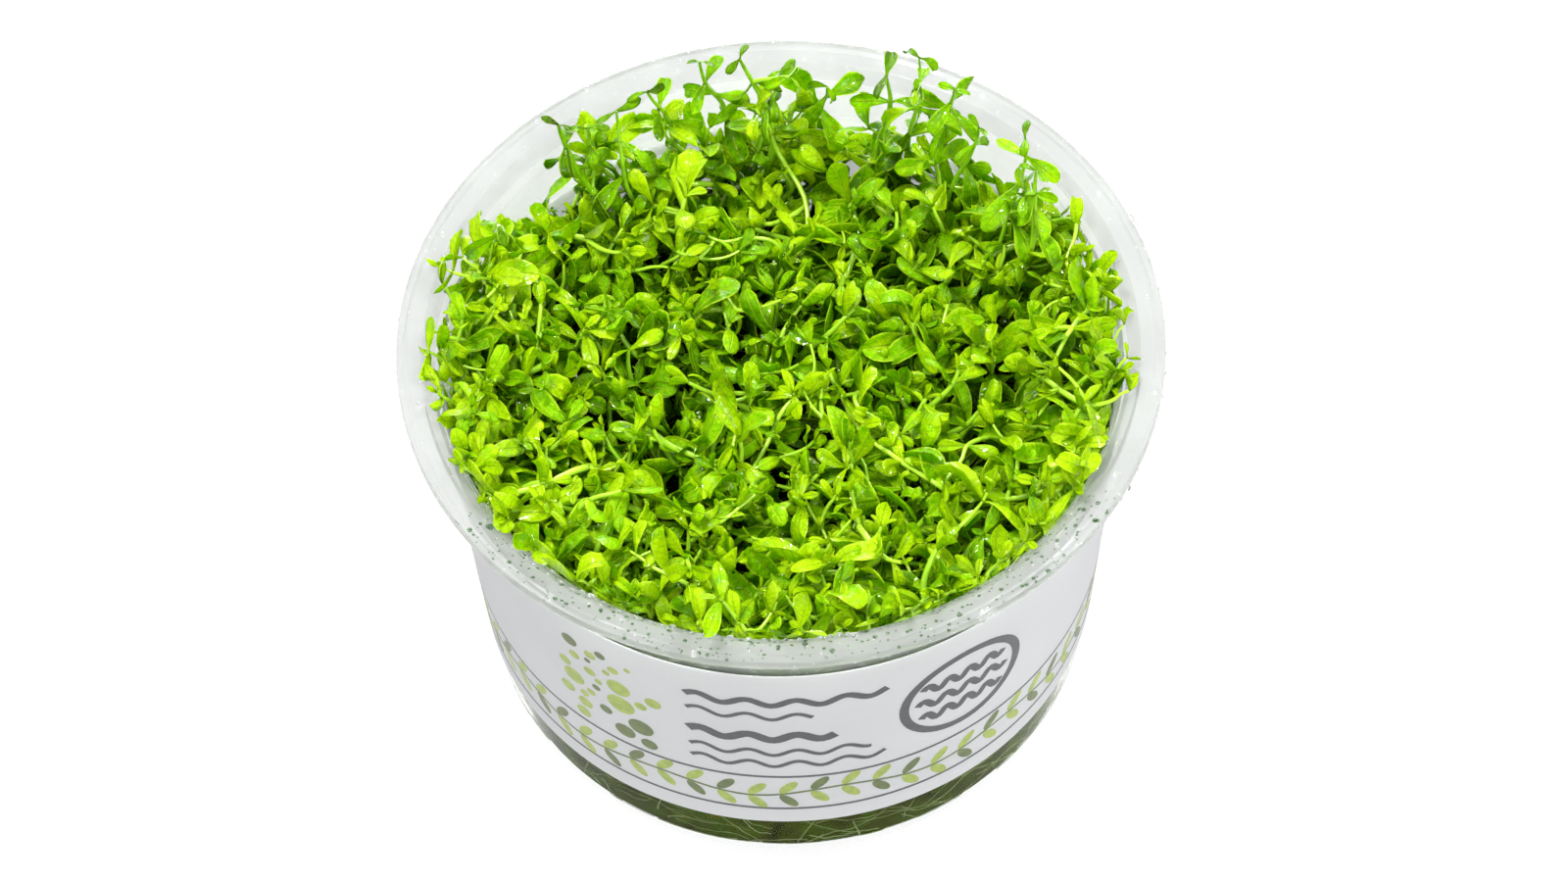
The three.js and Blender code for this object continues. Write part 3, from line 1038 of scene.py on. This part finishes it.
def line_value(tree, name, kind="FLOAT"):
    """A value that each point of the growth lines carries."""
    return output_of(tree, "GeometryNodeInputNamedAttribute", {"Name": name}, data_type=kind)


def is_over(tree, value, limit):
    return output_of(tree, "FunctionNodeCompare", {"A": value, "B": limit},
                     data_type="FLOAT", operation="GREATER_THAN")


def swept_stems(tree, given, materials):
    """Stems and roots along the growth lines."""
    section = output_of(tree, "GeometryNodeCurvePrimitiveCircle",
                        {"Resolution": given["Stem Sides"], "Radius": 1.0}, pick="Curve")
    curves = output_of(tree, "GeometryNodeMeshToCurve", {"Mesh": given["Geometry"]})
    stems = output_of(tree, "GeometryNodeCurveToMesh", {
        "Curve": curves, "Profile Curve": section, "Scale": line_value(tree, "stem_width"),
        "Fill Caps": True})
    stems = set_material(tree, stems, materials["stem"])
    is_root = is_over(tree, line_value(tree, "is_root"), 0.5)
    return set_material(tree, stems, materials["root"], Selection=is_root)


def leaves_on_side(tree, given, shelf, chosen, upright, side, shift):
    """One leaf of each chosen pair, picked from a collection, on one side of the stem."""

    def drawn(spread, step):
        """A number drawn for each leaf, between plus and minus the spread."""
        return output_of(tree, "FunctionNodeRandomValue", {
            "Min": -spread, "Max": spread, "Seed": calculate(tree, "ADD", given["Seed"], shift + step),
        }, data_type="FLOAT")

    turn = calculate(tree, "ADD", line_value(tree, "leaf_turn"), side * math.pi)
    spread_turn = calculate(tree, "MULTIPLY_ADD", drawn(1.0, 0), given["Turn Spread"], turn)
    rise = calculate(tree, "ADD", line_value(tree, "leaf_rise"), drawn(0.2, 1))
    swing = output_of(tree, "ShaderNodeCombineXYZ", {
        "X": drawn(0.45, 2), "Y": calculate(tree, "MULTIPLY", rise, -1.0), "Z": spread_turn})
    rotation = output_of(tree, "FunctionNodeRotateRotation", {
        "Rotation": upright,
        "Rotate By": output_of(tree, "FunctionNodeEulerToRotation", {"Euler": swing}),
    }, rotation_space="LOCAL")
    stretch = calculate(tree, "MULTIPLY_ADD", drawn(1.0, 3), given["Size Spread"], 1.0)
    scale = calculate(tree, "MULTIPLY", stretch, line_value(tree, "leaf_size"))
    leaf_number = output_of(tree, "FunctionNodeRandomValue", {
        "Min": 0, "Max": len(shelf.objects) - 1, "Seed": shift + 4}, data_type="INT")
    tone = calculate(tree, "ADD", line_value(tree, "leaf_tone"), drawn(0.15, 6))
    toned = output_of(tree, "GeometryNodeStoreNamedAttribute", {
        "Geometry": given["Geometry"], "Name": "leaf_tone", "Value": tone,
    }, data_type="FLOAT", domain="POINT")
    leaves = output_of(tree, "GeometryNodeCollectionInfo", {
        "Collection": shelf, "Separate Children": True, "Reset Children": True})
    return output_of(tree, "GeometryNodeInstanceOnPoints", {
        "Points": toned, "Selection": chosen, "Instance": leaves, "Pick Instance": True,
        "Instance Index": leaf_number, "Rotation": rotation, "Scale": scale})


def foliage_tree(big_leaves, small_leaves, materials):
    """Stems swept along the growth lines, and a pair of leaves at each point that has one."""
    tree, given = geometry_tree("leafy_shoots", {
        "Stem Sides": "Int", "Small Leaf Limit": "Float", "Size Spread": "Float",
        "Turn Spread": "Float", "Seed": "Int"})
    size = line_value(tree, "leaf_size")
    is_big = output_of(tree, "FunctionNodeBooleanMath", {
        "Boolean": is_over(tree, size, given["Small Leaf Limit"]),
        "Boolean_001": is_over(tree, line_value(tree, "leaf_tone"), -0.5)}, operation="AND")
    is_small = output_of(tree, "FunctionNodeBooleanMath", {
        "Boolean": is_over(tree, size, 1e-6), "Boolean_001": is_big}, operation="NIMPLY")
    upright = output_of(tree, "FunctionNodeAlignRotationToVector",
                        {"Vector": line_value(tree, "growth", "FLOAT_VECTOR")})
    leaves = [leaves_on_side(tree, given, shelf, chosen, upright, side, 10 * number + 5 * side)
              for number, (shelf, chosen) in enumerate(((big_leaves, is_big), (small_leaves, is_small)))
              for side in (0, 1)]
    realized = output_of(tree, "GeometryNodeRealizeInstances",
                         {"Geometry": join_geometry(tree, leaves)})
    whole = join_geometry(tree, (set_material(tree, realized, materials["leaf"]),
                                 swept_stems(tree, given, materials)))
    return finished_tree(tree, output_of(tree, "GeometryNodeSetShadeSmooth", {"Geometry": whole}))


def bake_nodes(source, tree, values, name):
    """The mesh that a node tree makes from an object, as a plain piece. The source is removed."""
    modifier = source.modifiers.new("growth", "NODES")
    modifier.node_group = tree
    for item in tree.interface.items_tree:
        if item.in_out == "INPUT" and item.name in values:
            modifier[item.identifier] = values[item.name]
    depsgraph = bpy.context.evaluated_depsgraph_get()
    mesh = bpy.data.meshes.new_from_object(source.evaluated_get(depsgraph), depsgraph=depsgraph)
    mesh.name = name
    piece = put_in_scene(name, mesh)
    bpy.data.objects.remove(source)
    return piece


def keep_inside_cup(mesh):
    """Presses what would stand through the wall against its inside, more softly the further out it is."""
    points = np.empty(len(mesh.vertices) * 3)
    mesh.vertices.foreach_get("co", points)
    points = points.reshape(-1, 3)
    radii = np.hypot(points[:, 0], points[:, 1])
    heights = points[:, 2] / MM
    limits = np.array([inner_limit(height) for height in heights]) * MM - 0.15 * MM
    soft = 1.4 * MM
    start = limits - soft
    over = np.maximum(radii - start, 0)
    is_pressed = (over > 0) & (heights > GEL_TOP + 1)
    pressed = np.where(is_pressed, limits - soft * np.exp(-over / soft), radii)
    share = np.where(radii > 0, pressed / np.maximum(radii, 1e-9), 1)
    points[:, 0] *= share
    points[:, 1] *= share
    mesh.vertices.foreach_set("co", points.ravel())
    mesh.update()


def plantlet_feet(frame):
    """The foot of each plantlet in the gel, from the lowest ring of its solid."""
    feet = {}
    for name, node in frame["nodes"].items():
        if not name.startswith("plantlet"):
            continue
        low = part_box(name)[0].z + 0.01 * MM
        ring = [vertex.co for vertex in node.data.vertices if vertex.co.z < low]
        middle = sum(ring, Vector()) / len(ring) / MM
        feet[name] = Vector((middle.x, middle.y, GEL_TOP - 2))
    return feet


def nearest_foot(feet, x, y):
    return min(feet, key=lambda name: math.hypot(feet[name].x - x, feet[name].y - y))


def random_lean(rng, slope):
    return Vector((rng.gauss(0, slope), rng.gauss(0, slope), 0))


def plant_carpet(lines, feet, rng):
    golden = math.pi * (3 - math.sqrt(5))
    for number in range(CARPET_SHOOTS):
        radius = CARPET_RADIUS * math.sqrt((number + 0.5) / CARPET_SHOOTS)
        angle = number * golden + rng.uniform(-0.03, 0.03)
        x = radius * math.cos(angle) + rng.gauss(0, 0.9)
        y = radius * math.sin(angle) + rng.gauss(0, 0.9)
        owner = nearest_foot(feet, x, y)
        height = canopy_height(x, y) + rng.gauss(0, CARPET_UNEVENNESS)
        if rng.random() < TALLER_SHARE:
            height += rng.uniform(1.5, 5)
        tip = Vector((x, y, height))
        foot = feet[owner] + Vector((rng.uniform(-2.5, 2.5), rng.uniform(-2.5, 2.5), 0))
        size = LEAF_LENGTH * rng.uniform(0.72, 1.15)
        grow_shoot(lines[owner], tip, random_lean(rng, rng.choice((0.35, 0.35, 1.0))), foot, size,
                   rng.choice(TIP_HABITS), rng)


def plant_edge(lines, feet, rng):
    """Shoots along the front and sides, whose tips lean against the rim, made lighter in tone as painted
    light.
    """
    for number in range(EDGE_SHOOTS):
        share = (number + rng.random()) / EDGE_SHOOTS
        angle = math.radians(EDGE_START + (EDGE_END - EDGE_START) * share)
        outward = level_direction(angle)
        height = rng.uniform(58, 65)
        spread = EDGE_RADIUS + rng.uniform(-1.2, 1.0) + max(0, height - 61) * 0.7
        tip = outward * spread + UP * height
        owner = nearest_foot(feet, tip.x, tip.y)
        lean = outward * rng.uniform(0, 1.0) + random_lean(rng, 0.4)
        grow_shoot(lines[owner], tip, lean, feet[owner].copy(), LEAF_LENGTH * rng.uniform(0.65, 1.05),
                   rng.choice(TIP_HABITS), rng, tone_shift=0.12)


def plant_sprigs(lines, feet, rng):
    """The tall shoots along the back wall, with longer gaps between their leaves, made darker and darker
    still at the tips, as painted shade for sprigs seen against the light.
    """
    back = [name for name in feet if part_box(name)[1].z > 70 * MM]
    for azimuth, height in BACK_SPRIGS:
        angle = math.radians(azimuth)
        outward = level_direction(angle)
        tip = outward * SPRIG_RADIUS + UP * height
        owner = min(back, key=lambda name: (feet[name].xy.normalized() - outward.xy).length)
        size = SPRIG_LEAF_LENGTH * rng.uniform(0.8, 1.25)
        grow_shoot(lines[owner], tip, random_lean(rng, 0.16), feet[owner] + outward * 2, size,
                   SPRIG_HABIT, rng, tone_shift=-0.36, side_share=0.2, wander=0.04, thickness=0.92,
                   tip_rise=0.08, tip_shade=0.16)


def plant_back(lines, feet, rng):
    """Leafy shoots of middling height that stand between the sprigs."""
    for number in range(BACK_SHOOTS):
        share = (number + rng.random()) / BACK_SHOOTS
        angle = math.radians(BACK_SHOOT_START + (BACK_SHOOT_END - BACK_SHOOT_START) * share)
        outward = level_direction(angle)
        tip = outward * rng.uniform(36, 43) + UP * rng.uniform(57, 66)
        owner = nearest_foot(feet, tip.x, tip.y)
        grow_shoot(lines[owner], tip, random_lean(rng, 0.35), feet[owner].copy(),
                   LEAF_LENGTH * rng.uniform(0.8, 1.2), rng.choice(TIP_HABITS), rng,
                   tone_shift=rng.uniform(-0.26, 0.02), side_share=0.3, thickness=0.8)


def plant_risers(lines, feet, rng):
    """Thin shoots with few leaves that curve out of the carpet in all directions."""
    for number in range(RISERS):
        radius = 42 * math.sqrt(rng.random())
        angle = rng.uniform(0, 2 * math.pi)
        x, y = radius * math.cos(angle), radius * math.sin(angle)
        tip = Vector((x, y, canopy_height(x, y) + rng.uniform(0.5, 5.5)))
        owner = nearest_foot(feet, x, y)
        grow_shoot(lines[owner], tip, random_lean(rng, 1.1), feet[owner].copy(),
                   RISER_LEAF_LENGTH * rng.uniform(0.7, 1.2), rng.choice(RISER_HABITS), rng,
                   tone_shift=rng.uniform(-0.1, 0.15), side_share=0.35, wander=0.1, thickness=0.8)


def plant_foliage(frame, tree, rng):
    feet = plantlet_feet(frame)
    lines = {name: GrowthLines() for name in feet}
    pieces = []
    plant_carpet(lines, feet, rng)
    plant_risers(lines, feet, rng)
    plant_edge(lines, feet, rng)
    plant_back(lines, feet, rng)
    plant_sprigs(lines, feet, rng)
    for index, (name, growth) in enumerate(sorted(lines.items())):
        for waiting in growth.side_shoots:
            side_shoot(growth, *waiting, rng)
        lay_roots(growth, feet[name], rng)
        piece = bake_nodes(growth.to_object(f"{name}_lines"), tree, {
            "Stem Sides": 6, "Small Leaf Limit": 2.6 * MM, "Size Spread": 0.1,
            "Turn Spread": 0.35, "Seed": 40 * index}, f"{name}_shoots")
        keep_inside_cup(piece.data)
        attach(piece, "root")
        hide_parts(name)
        pieces.append(piece)
    return pieces


# Beads of moisture

def bead_template():
    """A ball of one metre in radius. Its faces come in the same order each run."""
    tilts = [math.pi * row / BEAD_ROWS for row in range(BEAD_ROWS + 1)]
    # From the top down and then flipped, so that its faces are split as those of Blender's own ball
    section = [Vector((math.sin(tilt), math.cos(tilt))) / MM for tilt in tilts]
    ball = turned_piece("bead", section, [], BEAD_SIDES)
    ball.data.flip_normals()
    return ball


def bead_tree(bead):
    """Beads scattered over the faces given, flattened against them, with many small and few large."""
    tree, given = geometry_tree("scattered_beads", {
        "Density": "Float", "Smallest": "Float", "Largest": "Float", "Flatness": "Float",
        "Seed": "Int", "Material": "Material"})
    spots = add_node(tree, "GeometryNodeDistributePointsOnFaces", {
        "Mesh": given["Geometry"], "Density": given["Density"], "Seed": given["Seed"]})
    chance = output_of(tree, "FunctionNodeRandomValue",
                       {"Min": 0.0, "Max": 1.0, "Seed": given["Seed"]}, data_type="FLOAT")
    size = output_of(tree, "ShaderNodeMapRange", {
        "Value": calculate(tree, "POWER", chance, 5.0),
        "To Min": given["Smallest"], "To Max": given["Largest"]})
    shape = output_of(tree, "ShaderNodeCombineXYZ", {
        "X": size, "Y": size, "Z": calculate(tree, "MULTIPLY", size, given["Flatness"])})
    beads = output_of(tree, "GeometryNodeInstanceOnPoints", {
        "Points": result(spots, "Points"), "Rotation": result(spots, "Rotation"),
        "Instance": output_of(tree, "GeometryNodeObjectInfo", {"Object": bead}, pick="Geometry"),
        "Scale": shape})
    realized = output_of(tree, "GeometryNodeRealizeInstances", {"Geometry": beads})
    return finished_tree(tree, set_material(tree, realized, given["Material"]))


def faces_of(pieces, name, wanted):
    """A copy of the faces of some pieces for which wanted(centre, normal) holds."""
    vertices, faces = [], []
    for piece in pieces:
        corners = piece.data.vertices
        for face in piece.data.polygons:
            if wanted(face.center, face.normal):
                first = len(vertices)
                vertices += [corners[corner].co for corner in face.vertices]
                faces.append(range(first, len(vertices)))
    return new_mesh_object(name, vertices, faces, [])


def lay_beads(name, pieces, wanted, tree, values):
    piece = bake_nodes(faces_of(pieces, f"{name}_faces", wanted), tree, values, name)
    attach(piece, "root")


def is_on_flange(centre, normal):
    return centre.z > FLANGE_FOOT * MM and normal.z > 0.2 and centre.xy.length > 45 * MM


def is_on_front_flange(centre, normal):
    return is_on_flange(centre, normal) and centre.y < -26 * MM


def is_on_edge(centre, normal):
    return centre.z > 62.8 * MM and centre.xy.length > 50.2 * MM and centre.x > 0


def is_on_front_lip(centre, normal):
    return (is_on_flange(centre, normal) and 45.8 * MM < centre.xy.length < 47.6 * MM
            and centre.y < -30 * MM and centre.x < 8 * MM)


def is_under_skirt(centre, normal):
    return (LABEL_TOP * MM < centre.z < 58 * MM and centre.y < -20 * MM
            and normal.x * centre.x + normal.y * centre.y > 0)


def is_on_upper_leaf(centre, normal):
    return normal.z > 0.3 and centre.z > 53 * MM


def lay_moisture(cup, foliage):
    """Beads on the flange and under it, more in front, and a few on the upper leaves."""
    bead = bead_template()
    tree = bead_tree(bead)
    clear = water("clear_bead", (1.0, 1.0, 1.0))
    # The front beads are tinted dark green, a painted shade that stands for the shaded plants seen through
    # them
    shade_tinted = water("painted_shade_bead", (0.14, 0.26, 0.12))
    # Beads per square metre, smallest and largest radius in millimetres, flatness and seed
    for name, pieces, wanted, material, density, smallest, largest, flatness, seed in (
            ("front_beads", [cup], is_on_front_flange, shade_tinted, 7e5, 0.13, 0.4, 0.5, 3),
            ("flange_beads", [cup], is_on_flange, clear, 1.1e5, 0.2, 0.6, 0.5, 6),
            ("edge_beads", [cup], is_on_edge, clear, 3.2e5, 0.2, 0.85, 0.75, 8),
            ("lip_beads", [cup], is_on_front_lip, clear, 4e5, 0.35, 0.8, 0.8, 5),
            ("skirt_beads", [cup], is_under_skirt, clear, 5e5, 0.25, 0.8, 0.6, 7),
            ("leaf_beads", foliage, is_on_upper_leaf, clear, 4.5e4, 0.25, 0.95, 0.7, 2)):
        lay_beads(name, pieces, wanted, tree, {
            "Material": material, "Density": density, "Smallest": smallest * MM,
            "Largest": largest * MM, "Flatness": flatness, "Seed": seed})
    bpy.data.objects.remove(bead)


# Stage, lights and camera

def lay_floor():
    size = 1.6
    corners = [(-size, -size, 0), (size, -size, 0), (size, size, 0), (-size, size, 0)]
    floor = new_mesh_object("floor", corners, [(0, 1, 2, 3)], [pale_floor()], smooth=False)
    floor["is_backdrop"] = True


def soft_light(name, place, target, size, power, colour=(1, 1, 1)):
    light = bpy.data.lights.new(name, "AREA")
    light.shape = "DISK"
    light.size = size
    light.energy = power
    light.color = colour
    lamp = put_in_scene(name, light)
    lamp.location = place
    lamp.rotation_euler = (Vector(target) - Vector(place)).to_track_quat("-Z", "Y").to_euler()


def light_studio():
    world = bpy.data.worlds.new("white_studio")
    world.use_nodes = True
    world.node_tree.nodes["Background"].inputs["Color"].default_value = (1, 1, 1, 1)
    world.node_tree.nodes["Background"].inputs["Strength"].default_value = 0.5
    bpy.context.scene.world = world
    middle = (0, 0, 0.05)
    soft_light("top_softbox", (-0.25, -0.05, 0.95), middle, 0.3, 9.3)
    soft_light("front_softbox", (0.2, -0.85, 0.5), middle, 0.5, 4.1)
    soft_light("right_lamp", (0.6, 0.05, 0.62), middle, 0.16, 4.0)
    soft_light("left_lamp", (-0.4, 0.3, 0.75), middle, 0.13, 1.4)
    soft_light("back_softbox", (0.0, 0.85, 0.32), middle, 0.7, 9.0)


def place_camera():
    elevation = math.radians(CAMERA_ELEVATION)
    roll = math.radians(CAMERA_ROLL)
    back = Vector((0, -math.cos(elevation), math.sin(elevation)))
    upward = Vector((0, math.sin(elevation), math.cos(elevation)))
    right = Vector((1, 0, 0))
    turned_right = right * math.cos(roll) + upward * math.sin(roll)
    turned_up = upward * math.cos(roll) - right * math.sin(roll)
    lens = bpy.data.cameras.new("camera")
    lens.lens = CAMERA_LENS
    lens.sensor_width = 36
    lens.clip_start = 0.01
    camera = put_in_scene("camera", lens)
    camera.matrix_world = Matrix.Translation(CAMERA_TARGET + back * CAMERA_DISTANCE) @ Matrix(
        (turned_right, turned_up, back)).transposed().to_4x4()
    bpy.context.scene.camera = camera
    bpy.context.scene.view_settings.view_transform = "Standard"


def build():
    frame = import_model()
    cad_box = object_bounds()
    place_camera()
    light_studio()
    lay_floor()

    misted = [misted_plastic(*values) for values in (
        ("misted_band", (0.80, 0.83, 0.79), 0.33, 0.1),
        ("misted_neck", (0.74, 0.76, 0.74), 0.20, 0.1),
        ("misted_rim", (0.556, 0.568, 0.558), 0.275, 0.04))]
    cup = culture_cup([clear_plastic(), *misted], (LABEL_TOP - 1, NECK_FOOT, NECK_HEIGHT + 1))
    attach(cup, "root")
    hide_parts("cup")

    inks = [print_ink(*values) for values in (
        ("grey_ink", (0.030, 0.036, 0.038), (0.045, 0.052, 0.055)),
        ("deep_green_ink", (0.060, 0.090, 0.012), (0.105, 0.150, 0.020)),
        ("fresh_green_ink", (0.230, 0.310, 0.030), (0.330, 0.420, 0.050)))]
    label = wrap_label([label_film(), *inks])
    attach(label, "root")
    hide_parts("label")

    gel = culture_gel(growing_gel())
    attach(gel, "root")
    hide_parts("culture_gel")

    rng = random.Random(11)
    big_leaves = leaf_collection("broad_leaf", 12, LEAF_ALONG, LEAF_HALF_WIDTHS, 4, 1.0, rng)
    small_leaves = leaf_collection("young_leaf", 6, SMALL_LEAF_ALONG, SMALL_LEAF_HALF_WIDTHS, 2, 0.4, rng)
    tree = foliage_tree(big_leaves, small_leaves,
                        {"leaf": leaf_skin(), "stem": stem_skin(), "root": root_skin()})
    foliage = plant_foliage(frame, tree, rng)
    for shelf in (big_leaves, small_leaves):
        for leaf in list(shelf.objects):
            bpy.data.objects.remove(leaf)
        bpy.data.collections.remove(shelf)

    lay_moisture(cup, foliage)
    return cad_box


cad_box = build()
